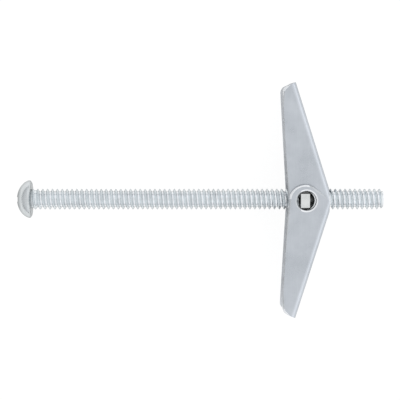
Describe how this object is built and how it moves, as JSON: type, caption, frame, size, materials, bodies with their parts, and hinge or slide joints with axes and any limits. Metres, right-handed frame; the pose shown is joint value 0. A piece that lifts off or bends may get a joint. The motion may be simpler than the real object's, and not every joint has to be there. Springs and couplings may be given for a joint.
{
  "type": "spring toggle bolt",
  "caption": "Spring toggle bolt: a threaded round-head screw carries a nut with sprung channel wings that fold back to pass a hole and open behind a hollow wall.",
  "frame": {"origin": "centre of the seat under the screw's head, on the screw's axis", "axes": "+X along the screw from the head's seat to its tip; +Y towards the upper wing's tip; +Z along the wings' pivot, towards the side where the lower wing's ear lies outside"},
  "size_m": [0.0793, 0.0506, 0.0124],
  "materials": {
    "screw_zinc": "bright zinc plate",
    "nut_zinc": "bright zinc plate",
    "wing_zinc": "satin blue-white zinc plate",
    "spring_wire": "plain drawn wire"
  },
  "bodies": {
    "screw": {"machine_screw": "screw_zinc"},
    "nut": {"trunnion_nut": "nut_zinc", "torsion_spring": "spring_wire"},
    "upper_wing": {"wing_upper": "wing_zinc"},
    "lower_wing": {"wing_lower": "wing_zinc"}
  },
  "joints": [
    {"name": "nut_travel", "type": "slide", "parent": "screw", "child": "nut", "axis": [1, 0, 0], "range_m": [-0.032, 0.02]},
    {"name": "wing_upper_fold", "type": "hinge", "parent": "nut", "child": "upper_wing", "pos_m": [0.059, 0, 0], "axis": [0, 0, 1], "range_deg": [0, 75], "stiffness_Nm_per_rad": 0.03, "springref_deg": -34.38, "deforming": ["torsion_spring"]},
    {"name": "wing_lower_fold", "type": "hinge", "parent": "nut", "child": "lower_wing", "pos_m": [0.059, 0, 0], "axis": [0, 0, -1], "range_deg": [0, 75], "stiffness_Nm_per_rad": 0.03, "springref_deg": -34.38, "deforming": ["torsion_spring"]}
  ]
}
